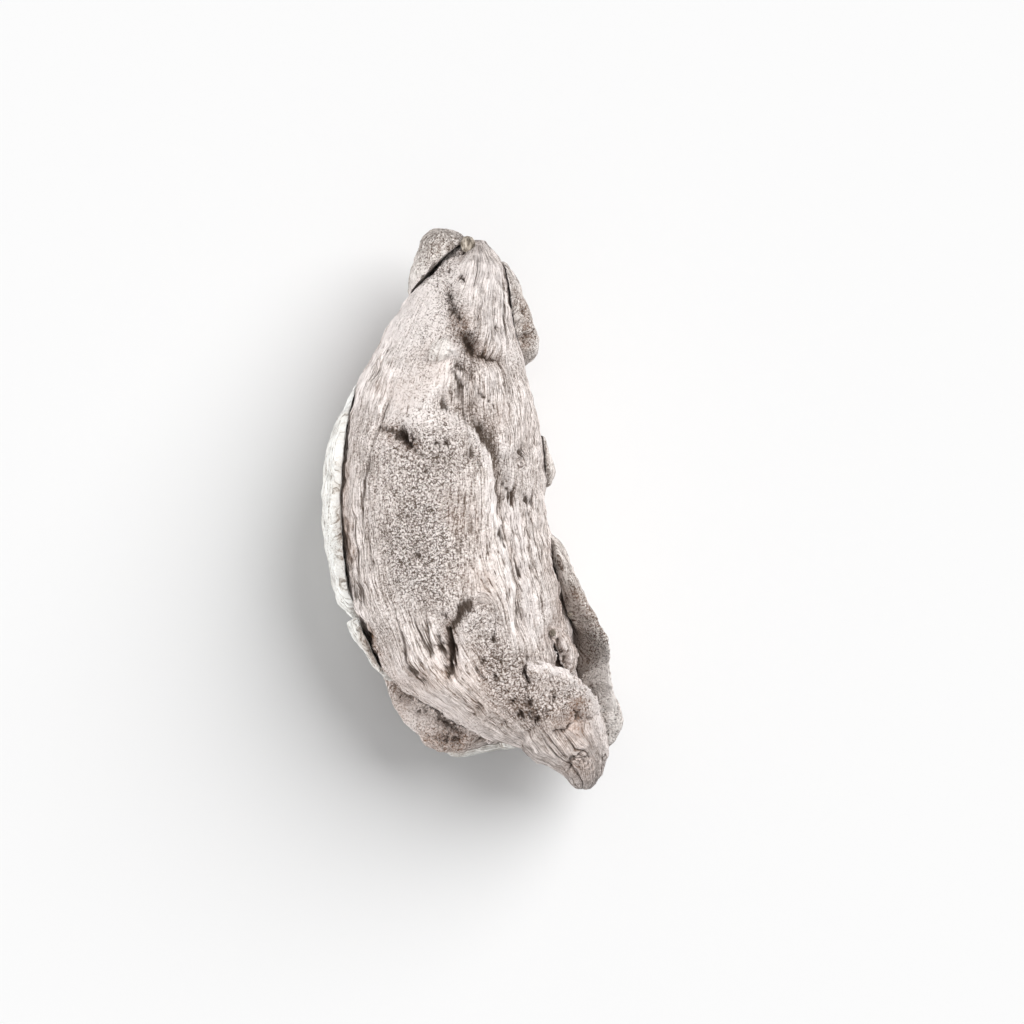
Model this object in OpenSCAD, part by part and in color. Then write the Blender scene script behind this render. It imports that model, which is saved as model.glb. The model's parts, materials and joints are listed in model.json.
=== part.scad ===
// Weathered driftwood, lying on its belly.
// X is across, Y is along the grain with the head at +Y, and Z is up.
// The trunk is a loft through stations. Every other piece of wood is a growth layer: its inner
// face follows the trunk's own surface at a named clearance, and its outer face is its own.

/* [Overall size] */
// Length along the grain, from the hooked tail to the root stub
wood_len = 140; // [100:1:200]
// Width of the whole piece, seen from above
wood_w = 74; // [55:1:105]
// Height as it lies
wood_h = 46; // [34:1:66]

/* [Splits] */
// Hairline between a layer and the wood under it
split_gap = 0.3; // [0.2:0.05:0.6]
// How far the sprung sapwood slab stands off at its lip
shake_open = 1.1; // [0.4:0.1:2]
// How far the root flange has peeled away from the trunk
flange_open = 8; // [4:0.2:9.6]

/* [Layers] */
// Thickness of the pale sapwood slab
slab_t = 3.6; // [3:0.2:7]
// Thickness of the flake below the slab
side_flake_t = 2; // [1.5:0.1:4]
// Thickness of the root flange
flange_t = 5; // [3:0.2:7]
// Thickness of the flap beside the head
flap_t = 5.2; // [3:0.2:8]
// Thickness of the stub under the head
stub_t = 7.6; // [5:0.2:12]
// Thickness of the lobe under the rib
toe_t = 9; // [6:0.5:12]
// Thickness of the lip under the lobe
lip_t = 12; // [8:0.5:14]
// Thickness of the granular fold over the tail
fold_t = 2.6; // [1.5:0.1:4]
// Thickness of the splinter beside the slot
splinter_t = 2; // [1:0.1:3]
// Thickness of the dead knot
knot_t = 1.8; // [1:0.1:3]
// Thickness of the thin bark flake
flake_t = 1.6; // [1:0.1:3]
// Thickness of every layer at its feathered edge
edge_t = 0.3; // [0.2:0.1:0.6]

/* [Grit] */
// Size of the pebble wedged at the head
pebble_d = 3.6; // [2:0.2:5]
// Size of the sand grains in the hollow
grain_d = 1.6; // [1:0.1:2.4]

/* [Smoothness] */
// Points around the trunk, an even number
around = 48; // [24:4:60]
// Sections between two stations
between = 3; // [1:1:4]

/* [Hidden] */

// The tables are drawn on a piece of this size and stretched to the one asked for.
drawn_size = [74, 140, 46];
stretch = [wood_w / drawn_size.x, wood_len / drawn_size.y, wood_h / drawn_size.z];

pale = [0.86, 0.82, 0.78];
bleached = [0.93, 0.91, 0.87];
grey_wood = [0.72, 0.68, 0.64];
grit = [0.78, 0.76, 0.70];

// Trunk stations: [y, left, right, crest x, crest z, middle z, keel z]
TRUNK = [
    [67.4, 0.2, 2.2, 1.2, 26.2, 26, 25.6],
    [66, -2, 4, 1, 29, 26, 21.5],
    [63.5, -5.6, 5.8, 0.6, 32, 25.5, 18],
    [60, -9.4, 8.2, 0, 34.8, 25, 14.5],
    [54, -15, 9.4, -2, 38, 24.5, 10.5],
    [46, -20.6, 10.4, -4, 40.8, 24, 7],
    [38, -25.2, 12.4, -6, 42.6, 23.5, 4],
    [30, -28.8, 14.8, -8, 43.8, 23, 1.5],
    [21, -31.2, 17, -9, 44.6, 22.5, -0.6],
    [11, -32.4, 18, -9, 45, 22, -2],
    [1, -32.8, 18.4, -9, 45, 22, -2.6],
    [-9, -32.2, 20.6, -8, 44.8, 22, -2.4],
    [-18, -31, 22.6, -6, 44.4, 22, -1.6],
    [-26, -28.6, 24, -3, 43.8, 22, -0.4],
    [-33, -25.8, 24.8, 0, 43, 22, 1.5],
    [-39, -22.8, 25.6, 3, 42, 22, 3.5],
    [-44, -17.4, 27.2, 7, 40.6, 22, 5.5],
    [-48.5, -9.8, 28.6, 11, 39, 22, 7.5],
    [-53, -3.2, 29.8, 15, 36.6, 21.5, 9],
    [-57.5, 6.4, 30.8, 20, 33.4, 21, 10],
    [-60.4, 16, 31, 24.4, 30, 20, 11],
    [-62.8, 22.6, 30.6, 26.4, 26.6, 19, 12],
    [-65, 25.6, 29.8, 27.4, 23.4, 18, 13],
    [-66.9, 26.6, 28.8, 27.6, 20.6, 17.4, 14.6],
    [-67.8, 27.2, 28, 27.6, 18.2, 17.4, 16.6]
];
last = len(TRUNK) - 1;

// How square a section is: 1 is an ellipse, and less is fuller.
fullness = 0.88;

// A row part-way between two stations, on a Catmull-Rom curve through them
function row_at(rows, t) =
    let (n = len(rows) - 1, i = min(floor(t), n - 1), f = t - i,
         a = rows[max(i - 1, 0)], b = rows[i], c = rows[i + 1], d = rows[min(i + 2, n)])
    0.5 * (2 * b + f * (c - a) + f * f * (2 * a - 5 * b + 4 * c - d)
        + f * f * f * (3 * b - a - 3 * c + d));

function clamp(v, lo, hi) = max(lo, min(hi, v));
function ease(v) = let (k = clamp(v, 0, 1)) k * k * (3 - 2 * k);
function pull(v) = sign(v) * pow(abs(v), fullness);
function unit(v) = v / max(norm(v), 0.001);

// Nearest distance from a point to a line drawn through points, all in plan
function to_stretch(p, a, b) =
    let (k = clamp((p - a) * (b - a) / max((b - a) * (b - a), 0.001), 0, 1)) norm(p - a - k * (b - a));
function to_line(p, line) =
    min([for (i = [0 : len(line) - 2]) to_stretch(p, line[i], line[i + 1])]);

// Valleys in the trunk's upper side: [depth, half width, line in plan]
VALLEYS = [
    [3.4, 2.8, [[-6, 54], [-3.5, 47], [-0.5, 42], [2, 38.5], [6, 37]]],
    [2.2, 3, [[0, 40], [-2.5, 33], [1.5, 26]]],
    [1.5, 3.4, [[-6, 27], [2.4, 20], [6.6, 12], [8, 3], [10, -7], [12.4, -18], [13, -28]]],
    [2, 3.2, [[-5, -29], [-5.4, -38]]],
    [1.4, 2.2, [[18, -6], [20.4, -13], [21.6, -21], [22.4, -31]]],
    [1.8, 2.2, [[21.6, -30], [22.6, -38]]],
    [1.4, 2.6, [[-19, 21], [-14.6, 16]]]
];
// Swellings: [height, half width, line in plan]
SWELLS = [
    [1.2, 7, [[-14, 8], [-12, -14]]],
    [1.4, 3.4, [[4, -27], [8, -34]]],
    [1.2, 3.2, [[-14, -38], [-4, -44], [3, -50]]]
];

// Sum of soft bumps along the lines of one of the tables above
function soft(p, list) =
    [for (v = list) v[0] * exp(-pow(to_line([p.x, p.y], v[2]) / v[1], 2))] * [for (v = list) 1];

// A point of the trunk's plain surface: station t, and angle a with 0 right, 90 up and 180 left
function bare(t, a) =
    let (r = row_at(TRUNK, clamp(t, 0, last)), c = pull(cos(a)), s = pull(sin(a)))
    [r[3] + c * (c > 0 ? r[2] - r[3] : r[3] - r[1]), r[0],
     r[5] + s * (s > 0 ? r[4] - r[5] : r[5] - r[6])];

function stretched(p) = [p.x * stretch.x, p.y * stretch.y, p.z * stretch.z];

// The trunk's surface with its valleys and swellings, which only the upper side has
function skin(t, a) =
    let (p = bare(t, a), up = ease(sin(a) * 1.6), k = (soft(p, SWELLS) - soft(p, VALLEYS)) * up)
    stretched(p) + [cos(a), 0, sin(a)] * k;

// The plain surface's outward direction
function normal(t, a) =
    let (u = stretched(bare(t, a + 5)) - stretched(bare(t, a - 5)),
         v = stretched(bare(t + 0.4, a)) - stretched(bare(t - 0.4, a)))
    unit(cross(u, v));

// What would pass through the table is worn flat on it.
function worn(p) = [p.x, p.y, max(p.z, 0)];

// A point g outside the trunk, and d further out in a direction that leans from the normal
function layer(t, a, g, d, lean = [0, 0, 0]) =
    let (n = normal(t, a)) worn(skin(t, a) + n * g + unit(n + lean) * d);

// Which way a ring of points turns: above 0 as its angles grow
function turning(ring) =
    [for (i = [1 : len(ring) - 2]) cross(ring[i + 1] - ring[0], ring[i] - ring[0]).y]
        * [for (i = [1 : len(ring) - 2]) 1];

// Closed solid through rings of points, each ring having the same even count. Its ends are
// strips across the ring, because a crescent's centre lies outside it. A ring that turns the
// other way has its faces reversed, so the solid is never inside out.
module loft(rings) {
    n = len(rings[0]);
    m = len(rings) - 1;
    sides = [for (j = [0 : m - 1], i = [0 : n - 1])
        let (a = j * n + i, b = j * n + (i + 1) % n)
        each [[a, b, a + n], [b, b + n, a + n]]];
    ends = [for (i = [0 : n / 2 - 2])
        let (b = i + 1, c = n - 2 - i, d = n - 1 - i, e = m * n)
        each [[b, i, d], [b, d, c], [e + i, e + b, e + c], [e + i, e + c, e + d]]];
    faces = concat(sides, ends);
    polyhedron([for (r = rings) each r],
        turning(rings[floor(m / 2)]) > 0 ? [for (f = faces) [f[2], f[1], f[0]]] : faces);
}

// A growth layer. Rows are [station, angle of its upper lip, angle of its lower edge,
// thickness, opening at the lip]. sharp is how square its edges are, lean tips it off the
// normal, skew slants its ends, and hinge is the share of its width that stands open.
module growth(rows, steps, across, sharp = 3, lean = [0, 0, 0], skew = 0, hinge = 0.45) {
    function bulge(v) = pow(max(1 - pow(abs(2 * v - 1), sharp), 0), 1 / sharp);
    function open(v, r) = r[4] * pow(clamp(1 - v / hinge, 0, 1), 1.5);
    function point(v, r, outer) =
        layer(r[0] + skew * (v - 0.5), r[1] + v * (r[2] - r[1]), split_gap,
            open(v, r) + (outer ? edge_t + r[3] * bulge(v) : 0), lean);
    loft([for (k = [0 : steps])
        let (r = row_at(rows, k * (len(rows) - 1) / steps))
        concat([for (i = [0 : across]) point(i / across, r, true)],
            [for (i = [across : -1 : 0]) point(i / across, r, false)])]);
}

// Heartwood: everything else grew on it
module trunk() {
    color(pale) loft([for (k = [0 : last * between])
        [for (i = [0 : around - 1]) worn(skin(k / between, 360 * i / around))]]);
}

// Pale outer sapwood that has sprung off along a ring shake, down the left side
module sapwood_slab() {
    o = shake_open;
    color(bleached) growth([
        [6.8, 172, 196, 0, 0.1], [7.4, 168, 212, slab_t * 0.3, o * 0.3], [8, 164, 226, slab_t * 0.6, o * 0.7],
        [9, 162, 228, slab_t * 0.85, o], [10, 162, 228, slab_t, o], [11, 162, 228, slab_t * 0.98, o],
        [12, 164, 226, slab_t * 0.9, o], [12.7, 166, 224, slab_t * 0.8, o], [13.1, 170, 216, slab_t * 0.5, o]
    ], 26, 14, skew = 0.7);
}
// Shorter flake of the same sapwood, split off below the slab
module side_flake() {
    o = shake_open;
    color(bleached) growth([
        [13.3, 166, 214, side_flake_t, o * 0.5], [13.8, 165, 214, side_flake_t, o * 0.7],
        [14.4, 164, 206, side_flake_t * 0.6, o * 0.7], [14.9, 165, 196, side_flake_t * 0.4, o * 0.5],
        [15.4, 168, 184, 0, 0.1]
    ], 12, 11, skew = 0.5);
}
// Stub of a root that grew away under the head
module root_stub() {
    color(grey_wood) growth([
        [0.8, 154, 240, 0.6, 0.2], [1.3, 150, 254, stub_t * 0.6, 0.5], [2, 150, 260, stub_t * 0.95, 0.7],
        [2.8, 156, 256, stub_t * 0.8, 0.6], [3.6, 166, 246, stub_t * 0.4, 0.3], [4.1, 180, 232, 0, 0]
    ], 20, 14, 2.4, [-0.1, 0, 0.3]);
}
// Pitted flap that wraps the right of the head
module head_flap() {
    color(grey_wood) growth([
        [2.5, 4, -30, 0, 0], [3, 10, -46, flap_t * 0.15, 0.2], [3.5, 14, -58, flap_t * 0.35, 0.3],
        [4.2, 14, -66, flap_t * 0.62, 0.4], [4.9, 12, -64, flap_t * 0.9, 0.4], [5.5, 10, -56, flap_t, 0.4],
        [6, 4, -48, flap_t * 0.8, 0.3], [6.3, -8, -36, 0, 0]
    ], 18, 10, 2.4, [0, 0, 0.2]);
}
// Thin flake halfway down the right side
module bark_flake() {
    color(grey_wood) growth([
        [8.2, 4, -18, 0, 0], [8.7, 8, -28, flake_t * 0.6, 0.2], [9.1, 8, -30, flake_t, 0.3], [9.5, 2, -22, 0, 0]
    ], 9, 7);
}
// Flange that has peeled from the lower right side and stands open like a cup
module root_flange() {
    o = flange_open;
    color(grey_wood) growth([
        [10.6, -4, -26, 0, 0], [11.2, 2, -50, flange_t * 0.5, o * 0.1], [12, 4, -64, flange_t * 0.7, o * 0.25],
        [13, 4, -70, flange_t * 0.85, o * 0.7], [14, 2, -72, flange_t, o], [15, -4, -72, flange_t, o],
        [16, -12, -70, flange_t * 1.3, o * 0.7], [17, -22, -68, flange_t * 1.7, o * 0.4],
        [18, -26, -64, flange_t * 1.9, o * 0.16], [19, -28, -60, flange_t * 1.5, 0.2],
        [19.9, -30, -54, flange_t * 0.7, 0], [20.3, -34, -50, 0, 0]
    ], 34, 14, 2.6, [0.6, 0, 0.8], hinge = 0.5);
}
// Splinter between the slot and the hollow
module splinter() {
    color(pale) growth([
        [13.5, 20, 15, 0, 0], [13.9, 24, 11, splinter_t * 0.8, 0], [14.5, 24, 10, splinter_t, 0],
        [14.9, 22, 11, splinter_t * 0.6, 0], [15.1, 19, 14, 0, 0]
    ], 12, 6, 2);
}
// Granular fold that has rolled over the tail and ends in its hooked nub
module tail_fold() {
    color(pale) growth([
        [14.7, 66, 58, 0, 0], [15.1, 68, 42, fold_t * 0.7, 0], [15.6, 68, 26, fold_t * 0.95, 0],
        [16.2, 76, 12, fold_t, 0], [17, 84, -2, fold_t, 0], [18, 90, -10, fold_t, 0],
        [18.8, 112, -14, fold_t, 0], [19.6, 150, -16, fold_t, 0], [20.4, 168, -18, fold_t, 0],
        [21.4, 176, -20, fold_t, 0], [22.4, 178, -22, fold_t * 0.9, 0], [23.2, 180, -24, fold_t * 0.8, 0],
        [23.8, 180, -10, fold_t * 0.7, 0]
    ], 36, 18, 3.4);
}
// Lobe that sits under the slanting rib
module toe_lobe() {
    color(pale) growth([
        [15.1, 200, 214, 0, 0], [15.6, 195, 216, toe_t * 0.35, 0.2], [16.1, 186, 218, toe_t * 0.6, 0.2],
        [16.7, 176, 219, toe_t * 0.85, 0.4], [17.4, 170, 220, toe_t, 0.5], [18, 171, 220, toe_t, 0.4],
        [18.5, 176, 217, toe_t * 0.6, 0.2], [19, 186, 210, 0, 0]
    ], 21, 10, 2.4, [-0.2, 0, 0.4]);
}
// Lip that sticks out below the lobe
module toe_lip() {
    color(bleached) growth([
        [15.8, 220, 236, 0, 0], [16.4, 221, 246, lip_t * 0.7, 0], [17.2, 222, 250, lip_t, 0],
        [18, 222, 250, lip_t, 0], [18.5, 220, 246, lip_t * 0.6, 0], [19, 216, 240, lip_t * 0.2, 0],
        [19.5, 210, 226, 0, 0]
    ], 18, 8, 2.4, [-0.2, 0, 0.6]);
}
// Dead knot beside the hollow below the head
module dead_knot() {
    color(grey_wood) growth([
        [5.5, 99, 91, 0, 0], [5.7, 102, 88, knot_t * 0.8, 0], [6, 102, 88, knot_t, 0], [6.2, 99, 91, 0, 0]
    ], 8, 6, 2);
}
// Rounded grit resting on the trunk, a hair clear of it
module bead(t, a, d) {
    color(grit) translate(layer(t, a, split_gap, d / 2)) scale([1, 1.15, 0.95]) sphere(d = d, $fn = 20);
}
module wedged_pebble() bead(1.2, 116, pebble_d);
module sand_grains() {
    bead(13.6, 30, grain_d);
    bead(13, 10, grain_d * 0.8);
    bead(14.6, -10, grain_d);
}

trunk();
sapwood_slab();
side_flake();
root_stub();
head_flap();
bark_flake();
root_flange();
splinter();
tail_fold();
toe_lobe();
toe_lip();
dead_knot();
wedged_pebble();
sand_grains();
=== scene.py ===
# %% [markdown]
# # A piece of weathered driftwood
# This is a crooked piece of sea-worn wood, about as long as a hand. It lies on its belly. The sea and
# the sun have turned it silver, opened cracks in it and worn its soft grain away between the hard lines.
# It could be scanned or sculpted by hand. Here every surface is worked out with numpy instead: a trunk
# lofted through stations, growth layers that follow the trunk, and marks laid on both along lines that
# were chosen. The same lines then tell the material where it is dark, stained or bleached.

# %% Load the imported frame
import json
import bpy
import numpy as np
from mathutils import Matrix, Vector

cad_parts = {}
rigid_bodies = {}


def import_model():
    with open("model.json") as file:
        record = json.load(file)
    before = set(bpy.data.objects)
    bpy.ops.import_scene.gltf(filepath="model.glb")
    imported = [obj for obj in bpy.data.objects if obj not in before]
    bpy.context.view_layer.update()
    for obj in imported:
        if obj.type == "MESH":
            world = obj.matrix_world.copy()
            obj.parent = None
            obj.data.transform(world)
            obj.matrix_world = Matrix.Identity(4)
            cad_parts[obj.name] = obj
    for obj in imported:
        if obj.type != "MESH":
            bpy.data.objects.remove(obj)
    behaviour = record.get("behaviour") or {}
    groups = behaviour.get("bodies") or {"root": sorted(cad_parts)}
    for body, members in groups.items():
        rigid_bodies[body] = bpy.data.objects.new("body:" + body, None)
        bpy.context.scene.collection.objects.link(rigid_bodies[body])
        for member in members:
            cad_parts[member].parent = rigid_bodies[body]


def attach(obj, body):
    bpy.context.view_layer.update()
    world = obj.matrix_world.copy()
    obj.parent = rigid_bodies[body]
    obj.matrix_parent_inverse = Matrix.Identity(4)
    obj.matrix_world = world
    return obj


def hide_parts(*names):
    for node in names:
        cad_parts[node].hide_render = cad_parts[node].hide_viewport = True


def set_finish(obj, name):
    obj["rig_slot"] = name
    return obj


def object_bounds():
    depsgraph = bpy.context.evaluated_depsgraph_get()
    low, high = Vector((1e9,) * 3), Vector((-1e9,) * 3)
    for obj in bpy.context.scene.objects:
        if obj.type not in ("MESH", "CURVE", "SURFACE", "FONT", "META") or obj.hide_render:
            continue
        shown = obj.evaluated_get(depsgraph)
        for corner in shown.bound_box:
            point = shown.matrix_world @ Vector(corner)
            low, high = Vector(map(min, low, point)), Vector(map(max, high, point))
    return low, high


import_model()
cad_low, cad_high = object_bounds()
print("the frame is", [round((b - a) * 1000, 1) for a, b in zip(cad_low, cad_high)], "mm")

# %% [markdown]
# ## Camera
# The piece is seen from straight above, as on a copy stand. A long lens from a metre away keeps the
# high middle of the wood from looking bigger than its low ends. The camera stands a little to the right
# of the piece, which leaves room for its long shadow.

# %% Camera
MM = 0.001
SENSOR = 36 * MM
LENS = 135 * MM
PICTURE_WIDTH = 256 * MM
TO_THE_RIGHT = 10.1 * MM
DOWNWARD = 0.4 * MM
middle = (cad_low + cad_high) / 2
camera = bpy.data.objects.new("camera", bpy.data.cameras.new("camera"))
bpy.context.scene.collection.objects.link(camera)
bpy.context.scene.camera = camera
camera.data.sensor_width = SENSOR / MM
camera.data.lens = LENS / MM
DISTANCE = PICTURE_WIDTH * LENS / SENSOR
camera.location = (middle.x + TO_THE_RIGHT, middle.y - DOWNWARD, middle.z + DISTANCE)
print("the camera is", round(camera.location.z, 3), "m above the table")

# %% [markdown]
# ## Light
# A wide soft sun low on the upper right throws the broad shadow to the left, and an even sky fills it.
# A sun was chosen over a lamp because its light is as strong at one end of the table as at the other. A
# second, sharper sun from the left lights only the wood, as a card held close to it would, so that its
# far side stays bright over its own shadow. The plain view transform keeps the table white.

# %% Light and table
SUN_HEIGHT = np.radians(40)
SUN_SIDE = np.radians(40)
SUN_WIDTH = np.radians(50)
SUN_STRENGTH = 2.95
sun = bpy.data.objects.new("sun", bpy.data.lights.new("sun", "SUN"))
bpy.context.scene.collection.objects.link(sun)
sun.data.energy = SUN_STRENGTH
sun.data.angle = SUN_WIDTH
sun.rotation_euler = (0, np.pi / 2 - SUN_HEIGHT, SUN_SIDE)

FILL_HEIGHT = np.radians(34)
FILL_SIDE = np.radians(200)
FILL_WIDTH = np.radians(16)
FILL_STRENGTH = 2.2
fill = bpy.data.objects.new("fill", bpy.data.lights.new("fill", "SUN"))
bpy.context.scene.collection.objects.link(fill)
fill.data.energy = FILL_STRENGTH
fill.data.angle = FILL_WIDTH
fill.rotation_euler = (0, np.pi / 2 - FILL_HEIGHT, FILL_SIDE)
lit_by_fill = bpy.data.collections.new("lit by the fill")
fill.light_linking.receiver_collection = lit_by_fill

SKY_STRENGTH = 0.44
world = bpy.data.worlds.new("sky")
bpy.context.scene.world = world
world.use_nodes = True
world.node_tree.nodes["Background"].inputs["Color"].default_value = (1, 1, 1, 1)
world.node_tree.nodes["Background"].inputs["Strength"].default_value = SKY_STRENGTH
bpy.context.scene.view_settings.view_transform = "Standard"

TABLE_SIZE = 6
bpy.ops.mesh.primitive_plane_add(size=TABLE_SIZE, location=(0, 0, cad_low.z))
table = bpy.context.object
table.name = "table"
print("the sun stands", round(np.degrees(SUN_HEIGHT)), "degrees high")

# %% [markdown]
# ## Noise
# Nothing on driftwood is regular, so most of its detail is noise. Gradient noise gives each corner of a
# lattice a random slope and blends the slopes between corners. Stretching the lattice along the grain
# turns the same noise into fibres.

# %% Gradient noise
def scrambled(corner, seed):
    """A random whole number for each lattice corner: multiply, fold the high bits down, repeat"""
    x, y, z = np.moveaxis(corner.astype(np.uint32), -1, 0)
    n = x * np.uint32(374761393) + y * np.uint32(668265263) + z * np.uint32(2246822519)
    n = n + np.uint32(seed * 3266489917 % 2 ** 32)
    n = (n ^ (n >> np.uint32(13))) * np.uint32(1274126177)
    return n ^ (n >> np.uint32(16))


def noise(points, wavelength, seed=0):
    """Smooth noise of about -1 to 1. Each lattice corner has a slope of length 1, and the eight slopes
    round a point are blended by the curve 6t^5 - 15t^4 + 10t^3."""
    place = np.asarray(points, float) / wavelength
    cell = np.floor(place).astype(np.int64)
    inside = place - cell
    fade = inside ** 3 * (inside * (inside * 6 - 15) + 10)
    total = np.zeros(place.shape[:-1])
    for corner in np.ndindex(2, 2, 2):
        n = scrambled(cell + corner, seed)
        turn = (n & np.uint32(0xFFFF)) / 65536.0 * 2 * np.pi
        rise = (n >> np.uint32(16)) / 32768.0 - 1
        flat = np.sqrt(np.maximum(1 - rise * rise, 0))
        away = inside - corner
        slope = (flat * np.cos(turn) * away[..., 0] + flat * np.sin(turn) * away[..., 1]
                 + rise * away[..., 2])
        total += slope * np.prod(np.where(corner, fade, 1 - fade), axis=-1)
    return 1.6 * total


def ramp(value, low, high):
    """0 below low, 1 above high, and the curve 3k^2 - 2k^3 between them"""
    k = np.clip((value - low) / (high - low), 0, 1)
    return k * k * (3 - 2 * k)


print("noise at one point:", round(float(noise(np.full((1, 3), 0.3), 1.0)[0]), 3))

# %% [markdown]
# ## The trunk's shape
# The trunk is one closed loft. Each station along the grain gives the section's left and right edge, its
# crest and its keel, and a smooth curve runs through the stations. The numbers are millimetres on a
# piece of the drawn size, and the frame's own box says how far they are stretched.

# %% Stations of the trunk
DRAWN = np.array([74.0, 140.0, 46.0])
STRETCH = np.array([cad_high.x - cad_low.x, cad_high.y - cad_low.y, cad_high.z - cad_low.z]) / MM / DRAWN
FULLNESS = 0.88          # 1 makes a section an ellipse, and less makes it fuller
# Each row: y, left, right, crest x, crest z, middle z, keel z
TRUNK = np.array([
    [67.4, 0.7, 1.7, 1.2, 26.2, 26, 25.6],
    [66, -2, 3.2, 1, 29, 26, 21.5],
    [63.5, -5.6, 5.8, 0.6, 32, 25.5, 18],
    [60, -9.4, 8.2, 0, 34.8, 25, 14.5],
    [54, -15, 9.4, -2, 38, 24.5, 10.5],
    [46, -20.6, 10.4, -4, 40.8, 24, 7],
    [38, -25.2, 12.4, -6, 42.6, 23.5, 4],
    [30, -28.8, 14.8, -8, 43.8, 23, 1.5],
    [21, -31.2, 17, -9, 44.6, 22.5, -0.6],
    [11, -32.4, 18, -9, 45, 22, -2],
    [1, -32.8, 18.4, -9, 45, 22, -2.6],
    [-9, -32.2, 20.6, -8, 44.8, 22, -2.4],
    [-18, -31, 22.6, -6, 44.4, 22, -1.6],
    [-26, -28.6, 24, -3, 43.8, 22, -0.4],
    [-33, -25.8, 24.8, 0, 43, 22, 1.5],
    [-39, -22.8, 25.6, 3, 42, 22, 3.5],
    [-44, -17.4, 27.2, 7, 40.6, 22, 5.5],
    [-48.5, -9.8, 28.6, 11, 39, 22, 7.5],
    [-53, -3.2, 29.8, 15, 36.6, 21.5, 9],
    [-57.5, 6.4, 30.8, 20, 33.4, 21, 10],
    [-60.4, 16, 31, 24.4, 30, 20, 11],
    [-62.8, 22.6, 30.6, 26.4, 26.6, 19, 12],
    [-65, 25.6, 29.8, 27.4, 23.4, 18, 13],
    [-66.9, 26.6, 28.8, 27.6, 20.6, 17.4, 14.6],
    [-67.8, 27.2, 28, 27.6, 18.2, 17.4, 16.6]])
LAST = len(TRUNK) - 1


def row_at(rows, t):
    """A row part-way between two rows: the Catmull-Rom cubic through the four nearest"""
    i = np.clip(np.floor(t).astype(int), 0, len(rows) - 2)
    f = (t - i)[..., None]
    a, b, c, d = (rows[np.clip(i + k, 0, len(rows) - 1)] for k in (-1, 0, 1, 2))
    return 0.5 * (2 * b + f * (c - a) + f ** 2 * (2 * a - 5 * b + 4 * c - d)
                  + f ** 3 * (3 * b - a - 3 * c + d))


def pull(v):
    """Sine or cosine raised to the fullness, with its sign kept"""
    return np.sign(v) * np.abs(v) ** FULLNESS


def plain_trunk(t, a):
    """Point at station t and angle a (0 right, a quarter turn up). Each quarter is a superellipse."""
    row = row_at(TRUNK, np.clip(t, 0, LAST))
    y, left, right, crest_x, crest_z, mid_z, keel_z = np.moveaxis(row, -1, 0)
    c, s = pull(np.cos(a)), pull(np.sin(a))
    x = crest_x + c * np.where(c > 0, right - crest_x, crest_x - left)
    z = mid_z + s * np.where(s > 0, crest_z - mid_z, mid_z - keel_z)
    return np.stack(np.broadcast_arrays(x, y, z), -1) * STRETCH


def unit(v):
    """Vectors scaled to length 1"""
    return v / np.maximum(np.linalg.norm(v, axis=-1, keepdims=True), 1e-9)


def trunk_normal(t, a):
    """Outward direction: the cross product of a small step round the trunk and one along it"""
    turn, step = np.radians(5), 0.4
    round_it = plain_trunk(t, a + turn) - plain_trunk(t, a - turn)
    along_it = plain_trunk(t + step, a) - plain_trunk(t - step, a)
    return unit(np.cross(round_it, along_it))


print("the trunk has", len(TRUNK), "stations")

# %% [markdown]
# ## Broad relief
# Valleys and swellings change the trunk's own form, so the layers on it follow them too. Each is a line
# in plan with a soft bump across it. Only the upper side has them.

# %% Broad relief
# Each row: height, half width, and the line's points in plan
VALLEYS = [
    [-2.2, 2.6, [[-6, 54], [-3.5, 47], [-0.5, 42], [2, 38.5], [6, 37]]],
    [-1.3, 3, [[0, 40], [-2.5, 33], [1.5, 26]]],
    [-2.1, 3.0, [[-6, 27], [2.4, 20], [6.6, 12], [8, 3], [10, -7], [12.4, -18], [13, -28]]],
    [-2, 3.2, [[-5, -29], [-5.4, -38]]],
    [-1.4, 2.2, [[18, -6], [20.4, -13], [21.6, -21], [22.4, -31]]],
    [-1.8, 2.2, [[21.6, -30], [22.6, -38]]],
    [-1.4, 2.6, [[-19, 21], [-14.6, 16]]]]
SWELLINGS = [
    [1.2, 7, [[-14, 8], [-12, -14]]],
    [1.4, 3.4, [[4, -27], [8, -34]]],
    [1.2, 3.2, [[-14, -38], [-4, -44], [3, -50]]]]


def to_line(plan, line):
    """Nearest distance in plan to a line of points, the share of the line there, and its side (1 left)"""
    line = np.asarray(line, float)
    lengths = np.linalg.norm(np.diff(line, axis=0), axis=1)
    best = np.full(plan.shape[:-1], np.inf)
    share = np.zeros_like(best)
    side = np.ones_like(best)
    for k, (start, end) in enumerate(zip(line[:-1], line[1:])):
        step = end - start
        along = np.clip((plan - start) @ step / lengths[k] ** 2, 0, 1)
        away = plan - start - along[..., None] * step
        gap = np.linalg.norm(away, axis=-1)
        near = gap < best
        best = np.where(near, gap, best)
        share = np.where(near, (lengths[:k].sum() + along * lengths[k]) / lengths.sum(), share)
        side = np.where(near, np.where(step[0] * away[..., 1] > step[1] * away[..., 0], 1.0, -1.0), side)
    return best, share, side


def soft(plan, rows):
    """Sum of bumps, each its height times e^-(distance / half width)^2"""
    return sum(height * np.exp(-(to_line(plan, line)[0] / width) ** 2) for height, width, line in rows)


def skin(t, a):
    """The plain trunk with its valleys and swellings, pushed out from its core"""
    point = plain_trunk(t, a)
    push = soft(point[..., :2], VALLEYS + SWELLINGS) * ramp(1.6 * np.sin(a), 0, 1)
    outward = np.stack([np.cos(a), np.zeros_like(a), np.sin(a)], -1)
    return point + outward * push[..., None]


print("there are", len(VALLEYS), "valleys and", len(SWELLINGS), "swellings")
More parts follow.
